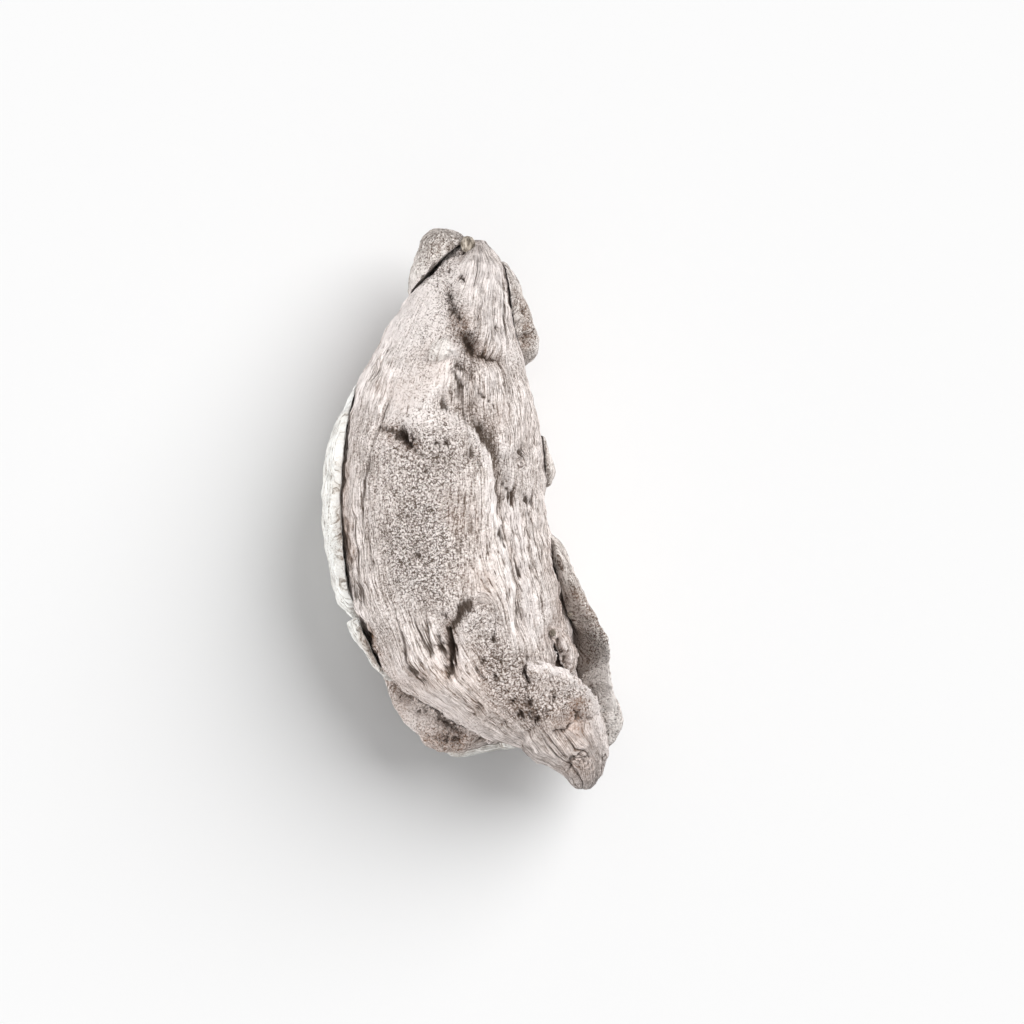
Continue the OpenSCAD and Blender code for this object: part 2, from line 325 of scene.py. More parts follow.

# %% [markdown]
# ## Marks of weathering
# Cracks, steps, ribs, pits and knots sit at chosen places, so each is drawn as a line in plan, in
# millimetres. A crack is a V that fades at both ends. An edge is a step: the wood to the left of its line
# stands proud of the wood to the right. Painting them as a flat picture would be quicker, but only real
# relief catches the light from every side.

# %% Cracks, pits and edges
# Each crack: depth, half width, darkness, and the line's points in plan. The darkness paints the shade
# inside a crack as well as its darker wood.
CRACKS = [
    # The first row is a broad, shallow dark patch: painted shadow in the hollow behind the flange.
    [0.2, 3.8, 0.2, [[25.6, -26.4], [26.2, -30], [27.4, -34], [29.2, -39.6]]],
    [0.3, 0.9, 0.6, [[-31, 20], [-31.6, 12], [-32, 4], [-31.6, 0]]],
    [0.5, 1.5, 0.7, [[-31.6, 1], [-31.2, -5], [-30.4, -13], [-29.2, -21], [-26.4, -26]]],
    [2.0, 1.8, 0.8, [[-28.4, -26.6], [-26.6, -31], [-23.8, -37.6]]],
    [1.6, 0.9, 0.8, [[18, -5.6], [19.6, -10], [21.4, -15], [22.8, -20], [24.6, -28]]],
    [2.8, 1.2, 1.0, [[21.2, -31], [22, -35], [22.8, -38.4]]],
    [1.8, 2.0, 0.34, [[0.8, -22.4], [-1.6, -23.8], [-3.2, -26.4], [-4.6, -29]]],
    [1.6, 2.8, 0.6, [[-4.4, -27], [-5, -31], [-5.4, -35], [-5, -39]]],
    [1.0, 0.7, 0.7, [[-10, -24], [-7.4, -25.4], [-5, -27]]],
    [2.8, 1.6, 0.85, [[-3.6, -26.2], [-4.9, -30], [-4.8, -34], [-4.8, -38], [-5.6, -42]]],
    [1.8, 2.0, 0.9, [[-7.2, -32.4], [-6, -35.4]]],
    [2.4, 1.7, 0.95, [[-22.6, -43], [-18.4, -45.6], [-14.4, -47.2], [-9.6, -48.8], [-6, -51.8],
        [-3, -56]]],
    [1.8, 2.0, 0.7, [[-12.4, -56.2], [-7, -57.6], [-1.4, -58.2]]],
    [1.3, 1.4, 0.55, [[-17.2, -38], [-13.6, -40.2], [-10.4, -42.8]]],
    [1.2, 1.3, 0.7, [[-23.4, 20.4], [-20.6, 19.4], [-18.6, 19.6]]],
    [2.6, 2.0, 0.9, [[-18.6, 19.8], [-16.6, 18.2], [-14.2, 15.2]]],
    [1.2, 2.4, 0.4, [[-6.6, 55.4], [-4.4, 50], [-2.4, 46], [-1.2, 43]]],
    [1.8, 2.6, 0.5, [[-2.4, 44.4], [-0.8, 41], [0.8, 37.8]]],
    [1.5, 1.5, 0.65, [[0.8, 38.8], [3.6, 37.6], [6.4, 36.6]]],
    [1.3, 2.4, 0.45, [[-3.8, 37], [-2.4, 34.6], [1.8, 32]]],
    [1.0, 0.8, 0.8, [[-5.2, 36], [-3.8, 32.4], [-1.6, 30.6], [0.6, 28.4]]],
    [0.9, 0.6, 0.8, [[1.2, 30], [4, 27], [6.6, 24.8]]],
    [1.5, 0.7, 1.0, [[13.6, -36.4], [13.4, -38.4], [14.4, -42.4]]],
    [1.8, 2.0, 0.75, [[27.4, -49], [26.2, -52.6]]],
    [1.1, 0.9, 0.7, [[26.8, -51], [24, -54.2], [19.6, -55.2]]],
    [0.9, 0.8, 0.6, [[31.4, -51.6], [29.4, -51], [27.6, -51.4]]],
    [0.8, 0.9, 0.5, [[16.8, -52.8], [14, -54.4], [11.4, -56.4]]],
    [1.0, 2.2, 0.5, [[0.2, -48.2], [3.2, -49.6]]],
    [1.3, 0.8, 1.0, [[8.6, 6.8], [9.2, 4], [9.4, 1.4]]],
    [1.3, 0.8, 1.0, [[10.2, 6], [10.4, 3.4], [10.6, 1]]],
    [0.9, 1.2, 0.6, [[12.6, 16.4], [12.8, 9.6]]],
    [1.5, 1.0, 1.0, [[13.2, 5], [13.6, 2], [15, -2.4]]],
    [1.4, 1.1, 1.0, [[6.2, -3.4], [7, -6.2], [8.2, -9.4]]],
    [1.0, 0.7, 0.8, [[11.2, -10], [12, -15], [12.4, -18]]],
    [1.6, 1.2, 1.0, [[-14.8, 54.9], [-10.7, 59], [-6.2, 63], [-2.9, 63.7], [-1.4, 66.4], [-3, 68.2]]],
    [1.6, 1.3, 0.6, [[12.6, 50.2], [13.6, 48.6]]],
    [1.8, 1.6, 0.6, [[13.6, 45.6], [13.4, 41]]],
    [0.9, 0.7, 0.7, [[8.8, 58], [10.2, 52], [11, 45.6], [13, 38.4]]],
    [0.6, 0.5, 0.5, [[-16, 48], [-21, 40], [-25.4, 31], [-28.4, 24]]],
    [0.6, 0.5, 0.5, [[-25, 6], [-25.4, -6], [-24, -18]]],
    [0.6, 0.5, 0.4, [[-20, -24], [-16, -33], [-9, -41]]],
    [1.2, 0.8, 0.8, [[32.6, -60], [32.8, -63], [31.4, -66]]],
    [0.8, 0.8, 0.7, [[24.2, -65.6], [25, -62.4], [27, -60.4], [29.6, -61.4]]],
    [0.6, 0.6, 0.5, [[15.4, 22], [17, 12], [17.4, 4]]]]
# Each pit: depth, radius, darkness and its place in plan. The darkness is painted shade in the pit as well
# as its darker wood.
PITS = [
    [1.6, 1.3, 0.9, -5.6, -29.4], [1.8, 1.5, 0.9, -4.4, -32.2], [1.5, 1.9, 0.9, -6.8, -33.8],
    [1.7, 1.3, 0.9, -5.0, -36.6], [1.2, 1.2, 0.8, -6.2, -39.4], [1.2, 1.0, 0.7, -7.8, -31.4],
    [1.3, 1.3, 0.9, 14.3, -47.5], [1.0, 1.0, 0.9, 10.8, -46.6], [1.3, 1.2, 0.9, 12.4, -50.4],
    [1.4, 1.6, 0.8, 16.4, -51.2], [1.0, 1.0, 0.8, 14.6, -50.0], [0.9, 1.1, 0.6, 18.6, -49.6],
    [1.1, 1.4, 0.8, -8.3, 16.2], [0.8, 0.9, 0.6, -5.6, 16.8], [0.7, 0.8, 0.6, -12.2, 13.6],
    [1.2, 1.2, 0.8, -2.4, 57.4], [1.0, 1.0, 0.7, -5.6, 59.4], [0.9, 0.9, 0.7, 1.6, 47.4],
    [0.8, 0.9, 0.5, 6.2, 45.4], [0.7, 0.8, 0.5, -12, 42], [0.8, 1.0, 0.5, 1.2, 60.6],
    [0.9, 1.0, 0.6, 20.2, -46.2], [0.8, 0.9, 0.6, 8.4, -52.2], [0.9, 1.1, 0.6, 6, -41],
    [1.0, 1.2, 0.6, 5.4, -31.4], [0.8, 1.0, 0.5, 2.6, -37], [0.7, 1.0, 0.5, -12.6, -11],
    [0.8, 0.9, 0.5, -19.6, -53.6], [0.9, 0.8, 0.6, -14, -51]]
# Each edge: height, how far it reaches, and its line, with the proud side to the left
EDGES = [
    [2.6, 3.0, [[11, -32], [10.6, -20], [8.2, -7.4], [5.9, 0], [5.3, 8.8], [4.2, 13.4],
        [0.8, 19.7], [-6.2, 24.3]]],
    [2.7, 2.6, [[-23.4, -41], [-15, -46], [-10, -48], [-6.4, -50.6], [-1, -54.6], [5, -58.4],
        [9.6, -60.6]]],
    [1.5, 1.8, [[6.2, -32], [5.4, -26], [3, -23.4], [0, -25.2], [-2.6, -28.6], [-3.2, -33],
        [-2.8, -39]]],
    [1.1, 1.8, [[-7.4, -41], [-8.8, -36], [-8.2, -31], [-7.4, -27]]],
    [0.5, 1.8, [[-1.6, 32], [-5, 36], [-4.6, 42.4], [-6.4, 48], [-9.6, 55]]],
    [0.9, 1.6, [[3.8, 57], [1.6, 50], [3.6, 43.6], [7.4, 38]]],
    [3.2, 1.8, [[32, -54.8], [32.3, -51.9], [31.2, -47.9], [27.1, -43.9], [23.1, -39.9],
        [18, -38.1], [13.4, -37]]],
    [0.8, 1.6, [[22.4, -43.2], [21.6, -46.6], [23.4, -50.2], [26, -48]]],
    [0.8, 1.2, [[23.6, -66], [24.4, -61.4], [28.2, -59.4], [31, -62.2]]],
    [0.7, 1.6, [[-12.4, 14.4], [-16.8, 16.4], [-22.6, 18.2]]],
    [0.4, 1.4, [[-3, 40.6], [-7.6, 41], [-8.8, 38.4], [-5.6, 35.6]]]]
# Each knot: radius, height of its rings, and its place in plan. One without rings only bends the grain.
KNOTS = [[2.6, 0.15, -18, 18], [3.6, 0.15, 3, -26], [3, 0.15, 26, -50], [6, 0, -12, 10],
         [2.6, 0.4, 27.4, -62], [1.6, 0.15, 13, 12], [2.4, 0.25, -7, 58.6], [2, 0.2, 14, 47]]


def cracks(plan, grain):
    """Depth and darkness of the cracks and pits, the darkness being painted shade as well as their
    own darker wood. A crack is depth * (1 - distance / width), faded at its ends by the root of
    sin(pi * share), with a width that wanders along the grain. A pit is round."""
    wander = 1 + 0.5 * noise(grain, (4, 3, 1), 71) + 0.7 * noise(grain, (1.2, 1.6, 1), 72)
    depth = np.zeros(plan.shape[:-1])
    dark = np.zeros_like(depth)
    for deep, width, darkness, line in CRACKS:
        gap, share, _ = to_line(plan, line)
        ends = np.sqrt(np.sin(np.pi * np.clip(share, 0.03, 0.97)))
        near = np.clip(1 - gap / (width * wander), 0, 1) * ends
        depth = np.maximum(depth, deep * near)
        dark = np.maximum(dark, darkness * ramp(near, 0.2, 0.6))
    for deep, radius, darkness, x, y in PITS:
        gap = np.linalg.norm((plan - (x, y)) * (1, 0.8), axis=-1)
        near = np.clip(1 - gap / (radius * wander), 0, 1)
        depth = np.maximum(depth, deep * ramp(near, 0, 0.9))
        dark = np.maximum(dark, darkness * ramp(near, 0.1, 0.8))
    return depth, dark


def edges(plan):
    """Height of the steps: tanh of the signed distance, times e^-(distance / reach), faded at the ends"""
    height = np.zeros(plan.shape[:-1])
    for tall, reach, line in EDGES:
        gap, share, side = to_line(plan, line)
        fade = np.sqrt(np.sin(np.pi * np.clip(share, 0.02, 0.98)))
        height += 0.5 * tall * fade * (0.4 + np.tanh(side * gap / 0.4)) * np.exp(-gap / reach)
    return height


print("there are", len(CRACKS), "cracks,", len(PITS), "pits,", len(EDGES), "edges,", len(KNOTS), "knots")

# %% [markdown]
# ## Where the colour changes
# Weathered wood is not one grey. The shoulder is bleached nearly white, the tail is browner, tannin
# stains the pockets orange, and some stretches have lost their grain and turned granular. Each is a sum
# of soft spots along lines in plan. Some tone lines paint light instead: highlights on raised edges, and
# shade in the valleys and in the hollow behind the flange.

# %% Colour and texture by place
# Each row: amount, reach, and the line's points in plan. A tone above 0 is paler, one below is darker.
# Some rows are painted highlights or painted shade, each noted above it.
TONES = [
    # Painted highlight along the bulge's raised edge
    [0.34, 0.9, [[-6.6, 25], [0, 20.4], [3.4, 13.6], [4.5, 8.8], [5.1, 0], [7.4, -7.6],
        [9.8, -20], [10.4, -31]]],
    # Painted shade beside that edge, on its low side
    [-0.3, 1.1, [[-3.6, 24.6], [1.9, 19.4], [5.2, 13.8], [6.4, 8.8], [7, 0], [9.2, -7.2], [11.6, -20]]],
    [-0.4, 4, [[28.6, -12], [30, -24]]],
    [0.5, 9, [[-9, 54], [-15, 44], [-12, 36], [-15, 28]]],
    [0.25, 5, [[-3, 62], [4, 58]]],
    [0.1, 7, [[7, 50], [9, 34]]],
    [0.24, 2.0, [[-21, -38], [-12, -43], [-4, -49], [5, -56]]],
    [-0.06, 10, [[-10, 6], [-10, -16]]],
    [0.66, 6, [[-16, -50], [-6, -55]]],
    # Painted shade in the valley that runs down from the shoulder
    [-0.3, 2.0, [[-4, 30], [2.6, 22], [6.6, 12], [8.2, 3]]],
    [0.1, 4, [[-20, -20], [-16, -34]]],
    [0.36, 2.0, [[7, 15], [8.4, 3], [11, -8], [14, -20], [15.6, -30]]],
    [0.7, 2, [[-31, 27], [-28.6, 33], [-25, 40], [-18, 50]]],
    # Painted shade down the valley in the head, and on along the crack at its foot
    [-0.26, 2.6, [[-6, 55], [-3.4, 47], [-0.6, 41], [0, 34], [1.4, 28]]],
    [-0.2, 2, [[0.6, 38.6], [6, 36.8]]],
    # Painted highlight on the fold's crisp rim
    [0.5, 1.0, [[14, -37.6], [18.4, -38.8], [23.4, -41], [27.4, -45], [31.2, -49.6], [31.6, -54]]],
    [0.5, 4, [[35, -40], [35.6, -57]]],
    [0.45, 0.9, [[27.6, -23], [32.6, -34], [34.6, -44], [35.8, -55]]],
    [-0.1, 4, [[-12, 66], [-6, 67]]],
    [-0.02, 3.0, [[13.4, 52], [13.6, 42]]],
    [-0.12, 6, [[6, -34], [8, -44]]],
    [0.1, 5, [[26, -55], [27.4, -66]]],
    [0.2, 2.4, [[-34.4, 14], [-34.6, -14]]],
    [0.4, 0.9, [[11.4, 57.6], [14.8, 52.6], [17.2, 47], [17.4, 42], [15, 38.6]]],
    [-0.3, 2.2, [[11, -47], [17, -51]]],
    [-0.28, 1.8, [[0.4, -48.2], [3.2, -49.6]]],
    [0.25, 1.0, [[-15.6, 55.6], [-11, 60.2], [-6.6, 64.4]]],
    [-0.12, 6, [[-14, 62], [-8, 67]]],
    # Painted shadow in the hollow behind the flange
    [-0.1, 2.4, [[26, -29], [28.4, -41]]],
    [0.2, 1.4, [[-6, 39.4], [-5, 39.4]]],
    [-0.3, 2.0, [[-3.6, 62], [-1, 66]]]]
STAINS = [
    [0.3, 2.4, [[26, -29], [28.4, -41]]],
    [0.5, 1.6, [[13, 51], [13.6, 48]]], [0.6, 1.6, [[13.6, 45.4], [13.4, 41]]],
    [0.8, 1.5, [[-31.4, -3], [-30.6, -12]]], [0.5, 1.4, [[-31.8, 12], [-32, 0]]],
    [0.9, 1.8, [[-26.6, -31], [-24.4, -37]]], [1.0, 2.6, [[-11, -57.4], [-4, -58.8]]],
    [0.9, 1.9, [[26, -48.4], [26, -52.6]]], [0.8, 2.0, [[24.6, -22], [27, -26.4]]],
    [0.45, 2.2, [[-3.5, 47], [-0.4, 41], [3.6, 37.8]]], [0.4, 2.0, [[-5.4, -28], [-5, -40]]],
    [0.5, 8, [[-18, -46], [-4, -57]]], [0.5, 5, [[25, -54], [27.4, -64]]],
    [0.3, 8, [[2, -42], [20, -52]]],
    [0.35, 2.4, [[-20, 19], [-14.4, 15.8]]], [0.3, 2.0, [[19.4, -10], [22, -20]]]]
GRANULAR = [
    [0.7, 5, [[-7, 58], [-3, 47], [0, 36]]], [0.8, 5, [[27, -13], [31, -30]]],
    [1.0, 11, [[-12, 13], [-11, -17]]], [0.9, 6.5, [[8, -42], [16, -48], [24, -47]]],
    [0.7, 5, [[4, -28], [7, -38]]], [0.6, 7, [[-12, 44], [-12, 30]]], [1.0, 7, [[-17, -50], [-6, -57]]],
    [0.4, 6, [[-13, 62], [-6, 68]]], [0.8, 5, [[14, 54], [15, 40]]], [0.7, 5, [[34, -36], [35, -56]]]]


print("there are", len(TONES), "tones and", len(STAINS), "stains")

# %% [markdown]
# ## Weathering a surface
# One function weathers all the wood, so that cracks and grain run on from the trunk to the layers. It
# says how far each point moves in or out, and why, because the material needs the same facts. Hard
# winter rings stand out as narrow ridges, which is what 1 - |noise| gives.

# %% Weathering
ACROSS = 25.0            # millimetres of girth for each radian round the trunk
SHEAR = 3.1              # slides each fibre past the next, so that no marks line up across the grain
KNOT_RINGS = 1.6         # how much faster the grain is crossed inside a knot
# Each row: height, wavelengths (across and along for fibres) and the noise's number
RELIEF = [(0.65, 9, 1), (0.45, 4, 2), (0.22, 2.2, 3)]
FIBRES = [(0.26, 2.4, 34, 51), (0.17, 1.1, 18, 52), (0.1, 0.6, 9, 53)]


def grain_of(point, angle):
    """Place in the grain: girth across it and length along it, pushed aside round each knot by the
    fraction R^2 / max(r^2, R^2), with rings inside the knot"""
    across = ACROSS * angle + 0.8 * noise(point, 14, 31)
    for radius, _, x, y in KNOTS:
        away = (point[..., :2] - (x, y)) * (1, 0.6)
        near = radius ** 2 / np.maximum((away ** 2).sum(-1), radius ** 2)
        gap = np.linalg.norm(away, axis=-1)
        across = (across + away[..., 0] * near * np.exp(-gap / (2 * radius))
                  + KNOT_RINGS * np.maximum(radius - gap, 0))
    return np.stack([across, point[..., 1] + SHEAR * across, np.zeros_like(across)], -1)


def ridges(grain, wide, long, seed):
    """Narrow crests along the grain: (1 - |noise|)^2, less its mean"""
    return (1 - np.abs(noise(grain, (wide, long, 1), seed))) ** 2 - 0.6


def weathered(point, normal, angle):
    """How far the weather has moved a surface; its marks, which are darkness (painted shade in cracks and
    pits as well as their darker wood), stain and granular share; its tone, painted highlights and shade
    included; and its place in the grain"""
    wobble = np.stack([noise(point, 3.2, 11) + 0.5 * noise(point, 1.2, 13),
                       noise(point, 3.2, 12) + 0.9 * noise(point, 1.2, 14)], -1)
    plan = point[..., :2] + 0.8 * wobble
    up = ramp(normal[..., 2], -0.05, 0.3)
    grain = grain_of(point, angle)
    granular = np.clip(soft(point[..., :2], GRANULAR) * up + 0.5 * noise(point, 16, 21), 0, 1)
    deep, dark = cracks(plan, grain)
    zero_crossing = ramp(0.07 - np.abs(noise(grain, (7, 46, 1), 41)), 0, 0.06)
    fissure = zero_crossing * ramp(noise(grain, (9, 22, 1), 42), 0, 0.3)
    fissure = fissure * (1 - 0.7 * granular)
    fibres = sum(tall * ridges(grain, wide, long, seed) for tall, wide, long, seed in FIBRES)
    crumbs = 0.2 * noise(point, 1.7, 61) + 0.22 * noise(point, 0.85, 62)
    pores = ramp(noise(point, 1.0, 63), 0.35, 0.75)
    knots = np.zeros(up.shape)
    for radius, height, x, y in KNOTS:
        away = np.linalg.norm(plan - (x, y), axis=-1)
        knots += height * np.cos(2 * np.pi * away / 1.1) * np.exp(-(away / radius) ** 2)
    height = sum(tall * noise(point, wavelength, seed) for tall, wavelength, seed in RELIEF)
    height += fibres * (1 - 0.75 * granular)
    height += crumbs * (0.35 + 0.65 * granular) - 0.4 * pores * granular - 0.5 * fissure
    height += up * (edges(plan) + knots - deep)
    stain = np.clip(soft(plan, STAINS) * up + 0.35 * ramp(noise(point, 12, 22), 0.2, 0.8), 0, 1)
    # Tone: the wood's own paleness, with the painted highlights and painted shade of some tone lines
    tone = 0.56 - 0.08 * granular + soft(plan, TONES) * up + 0.07 * noise(point, 8, 23)
    tone = tone + 0.08 * noise(grain, (3, 30, 1), 24)
    dark = np.maximum(dark * up * (0.85 + 0.5 * noise(point, 1.1, 25)), 0.8 * fissure)
    return height, np.stack([dark, stain, granular], -1), tone, grain


def blurred(field, reach):
    """Running mean over 2 * reach + 1 grid points each way, from differences of running sums"""
    for axis in (0, 1):
        wide = np.concatenate([np.repeat(np.take(field, [0], axis), reach + 1, axis), field,
                               np.repeat(np.take(field, [-1], axis), reach, axis)], axis)
        total = np.cumsum(wide, axis)
        size = field.shape[axis]
        field = (np.take(total, np.arange(2 * reach + 1, 2 * reach + 1 + size), axis)
                 - np.take(total, np.arange(size), axis)) / (2 * reach + 1)
    return field


def shade_hollows(height, reach, marks, tone):
    """Painted shade: mark as dark, and return in a darker tone, what lies below the mean of its
    surroundings
    """
    hollow = blurred(height, reach) - height
    marks[..., 0] = np.clip(np.maximum(marks[..., 0], 0.9 * ramp(hollow, 0.15, 0.9)), 0, 1)
    return tone - 0.25 * hollow


print("one radian of girth is", ACROSS, "mm of grain")

# %% [markdown]
# ## From rings of points to a mesh
# Every piece is a stack of closed rings. Neighbouring rings are joined by quads, and each end is closed
# by strips across its ring, which suits crescents as well as circles. The quads go into the mesh as one
# array, because a Python loop over a hundred thousand of them would be slow.

# %% Solids from rings
def ring_quads(rings, around):
    """Quads between rings, then the strips that close the first and the last ring"""
    i, j = np.meshgrid(np.arange(around), np.arange(rings - 1))
    a, b = j * around + i, j * around + (i + 1) % around
    sides = np.stack([a, b, b + around, a + around], -1).reshape(-1, 4)
    k = np.arange(around // 2 - 1)
    strip = np.stack([k + 1, k, around - 1 - k, around - 2 - k], -1)
    return np.concatenate([sides, strip, strip[:, ::-1] + (rings - 1) * around])


def volume(points, quads):
    """Six times the volume: the sum of a . (b x c) + a . (c x d) over the quads"""
    a, b, c, d = (points[quads[:, k]] for k in range(4))
    return float((a * (np.cross(b, c) + np.cross(c, d))).sum())


def solid(name, blocks):
    """A mesh object from blocks of (rings of points in mm, marks, tone, grain), each closed by itself"""
    points, quads, fields = [], [], []
    count = 0
    for rings, marks, tone, grain in blocks:
        block = rings.reshape(-1, 3)
        faces = ring_quads(*rings.shape[:2])
        faces = faces if volume(block, faces) > 0 else faces[:, ::-1]
        points.append(block)
        quads.append(faces + count)
        fields.append((marks.reshape(-1, 3), tone.reshape(-1), grain.reshape(-1, 3)))
        count += len(block)
    points, quads = np.concatenate(points) * MM, np.concatenate(quads)
    mesh = bpy.data.meshes.new(name)
    mesh.vertices.add(len(points))
    mesh.vertices.foreach_set("co", points.ravel())
    mesh.loops.add(quads.size)
    mesh.loops.foreach_set("vertex_index", quads.ravel().astype(np.int32))
    mesh.polygons.add(len(quads))
    mesh.polygons.foreach_set("loop_start", np.arange(0, quads.size, 4, dtype=np.int32))
    mesh.update(calc_edges=True)
    mesh.shade_smooth()
    marks, tone, grain = (np.concatenate([field[k] for field in fields]) for k in range(3))
    mesh.attributes.new("marks", "FLOAT_VECTOR", "POINT").data.foreach_set("vector", marks.ravel())
    mesh.attributes.new("tone", "FLOAT", "POINT").data.foreach_set("value", tone)
    mesh.attributes.new("grain", "FLOAT_VECTOR", "POINT").data.foreach_set("vector", grain.ravel())
    piece = bpy.data.objects.new(name, mesh)
    bpy.context.scene.collection.objects.link(piece)
    print(name, "has", 2 * len(quads), "triangles")
    return piece


print("a cube of quads would have", len(ring_quads(2, 4)), "faces")

# %% [markdown]
# ## Trunk
# The heartwood is what is left of the branch, and every other layer grew on it. Rings of points run
# round it from head to tail. They are closer together above than below, where the wood lies on the
# table, and what would pass through the table is worn flat.

# %% Trunk
TOP_POINTS, BELLY_POINTS, RING_COUNT = 346, 150, 198
END_CROWDING = 0.5       # share of the rings' spacing that is drawn in towards the two ends


def eased(count, crowding):
    """Shares from 0 to 1, drawn in towards both ends: k - crowding * sin(2 pi k) / (2 pi)"""
    k = np.linspace(0, 1, count)
    return k - crowding * np.sin(2 * np.pi * k) / (2 * np.pi)


def make_trunk():
    """Rings of the weathered skin. Station numbers are read back from even steps of length."""
    fine = np.linspace(0, LAST, 2000)
    length = row_at(TRUNK, fine)[:, 0]
    wanted = length[0] + eased(RING_COUNT, END_CROWDING) * (length[-1] - length[0])
    t = np.interp(-wanted, -length, fine)
    angle = np.concatenate([np.linspace(0, np.pi, TOP_POINTS, endpoint=False),
                            np.linspace(np.pi, 2 * np.pi, BELLY_POINTS, endpoint=False)])
    t, a = np.meshgrid(t, angle, indexing="ij")
    normal = trunk_normal(t, a)
    base = skin(t, a)
    height, marks, tone, grain = weathered(base, normal, np.where(a > 1.5 * np.pi, a - 2 * np.pi, a))
    tips = ramp(np.minimum(t, LAST - t), 0, 0.8)
    height = height * tips
    point = base + normal * height[..., None]
    tone = shade_hollows(height, 9, marks, tone)
    point[..., 2] = np.maximum(point[..., 2], 0)
    return solid("heartwood", [(point, marks, tone, grain)])


def settle(piece, node, slot):
    """The piece stands for a CAD node, keeps to the one body, takes a finish and is lit by the fill"""
    lit_by_fill.objects.link(piece)
    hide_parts(node)
    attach(piece, "root")
    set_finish(piece, slot)


heartwood = make_trunk()
settle(heartwood, "trunk", "weathered_wood")

# %% [markdown]
# ## Growth layers
# A layer is a closed crescent that lies on the trunk. Its rows give a station, the angles of its upper
# lip and its lower edge, its thickness and how far the lip stands open. Where a real layer is still grown
# on, its edge dips under the trunk's surface, and where it has split off, its edge stays clear and ragged.

# %% Growth layers
GAP = 0.3                # as the CAD leaves between a layer and the trunk
EDGE = 0.3               # thickness of a worn edge
SINK = 1.3               # how far a grown-on edge dips


def face_normal(grid, outward):
    """Normals of a grid of points: the cross product of its two slopes, on the outward side"""
    normal = unit(np.cross(np.gradient(grid, axis=0), np.gradient(grid, axis=1)))
    return normal * np.sign((normal * outward).sum())


def near_edges(v, share, grown, taper):
    """How near a point is to each edge that is grown on: 1 on the edge, 0 a little way in"""
    across = grown[0] * (1 - ramp(v, 0, 0.16)) + grown[1] * (1 - ramp(1 - v, 0, 0.16))
    ends = grown[2] * (1 - ramp(share, 0, taper)) + grown[3] * (1 - ramp(1 - share, 0, taper))
    return np.maximum(np.clip(across, 0, 1), np.clip(ends, 0, 1))


def growth(name, rows, rings, across, sharp=3, lean=(0, 0, 0), skew=0.0, hinge=0.45, grown=(0, 0, 1, 1),
           ragged=1.5, cup=None, taper=0.07):
    """Outer face: gap + opening + edge + thickness * (1 - |2v - 1|^sharp)^(1/sharp), v being 0 at the
    upper lip and 1 at the lower edge. Inner face: gap + opening, which falls off as
    (1 - v / hinge)^1.5. lean tips the wall, skew slants its rings and ragged frays its lips. grown says
    how much the upper, lower, first and last edge dip, the last two over a share taper of the length.
    cup gives the station round which the layer is hollow, and how far: elsewhere its wall fills up."""
    rows = np.asarray(rows, float)
    share = np.linspace(0, 1, rings)
    row = row_at(rows, share * (len(rows) - 1))[:, None, :]
    v, share = np.meshgrid(eased(across, 0.7), share)
    t = row[..., 0] + skew * (v - 0.5)
    upper, lower = (ragged * noise(np.stack(np.broadcast_arrays(20 * share, 0.0, depth), -1),
                                   (1.1, 1, 0.7), 81) for depth in (0.3, 5.3))
    a = np.radians(row[..., 1] + upper + v * (row[..., 2] + lower - row[..., 1] - upper))
    normal = trunk_normal(t, a)
    outward = unit(normal + np.array(lean))
    near_lip = np.clip(1 - v / hinge, 0, 1)
    lift = row[..., 4] * near_lip ** 1.5
    wall = EDGE + row[..., 3] * np.maximum(1 - np.abs(2 * v - 1) ** sharp, 0) ** (1 / sharp)
    if cup:
        open_share = near_lip * np.exp(-np.abs((t - cup[0]) / cup[1]) ** 3)
        wall = wall + lift * (1 - open_share)
        lift = lift * open_share
    sunk = GAP - SINK * near_edges(v, share, grown, taper)
    inner = skin(t, a) + normal * sunk[..., None] + outward * lift[..., None]
    outer = inner + outward * wall[..., None]
    face = face_normal(outer, outward)
    height, marks, tone, grain = weathered(outer, face, a)
    height = np.maximum(height, -0.6 * wall)
    tone = shade_hollows(height, 6, marks, tone)
    outer = outer + unit(face + outward) * height[..., None]
    shaded, inner_tone = weathered(inner, -face_normal(inner, outward), a)[1:3]
    rough = 0.12 * ridges(grain, 1.4, 20, 91) + 0.3 * noise(inner, 2.6, 92)
    inner = inner + outward * rough[..., None]
    ring = np.concatenate([outer, inner[:, ::-1]], 1)
    ring[..., 2] = np.maximum(ring[..., 2], 0)
    return solid(name, [(ring, np.concatenate([marks, shaded[:, ::-1]], 1),
                         np.concatenate([tone, inner_tone[:, ::-1]], 1),
                         np.concatenate([grain, grain[:, ::-1] + (0, 0, 3)], 1))])


print("layers lie", GAP, "mm off the trunk")

# %% [markdown]
# ## Sapwood on the left
# Down the left side the outer sapwood has sprung off along a growth ring, which foresters call a shake,
# and a narrow groove shows between it and the heartwood. A shorter flake of it is left lower down. Both
# are layers whose upper lip stands open and whose lower edge is grown on.

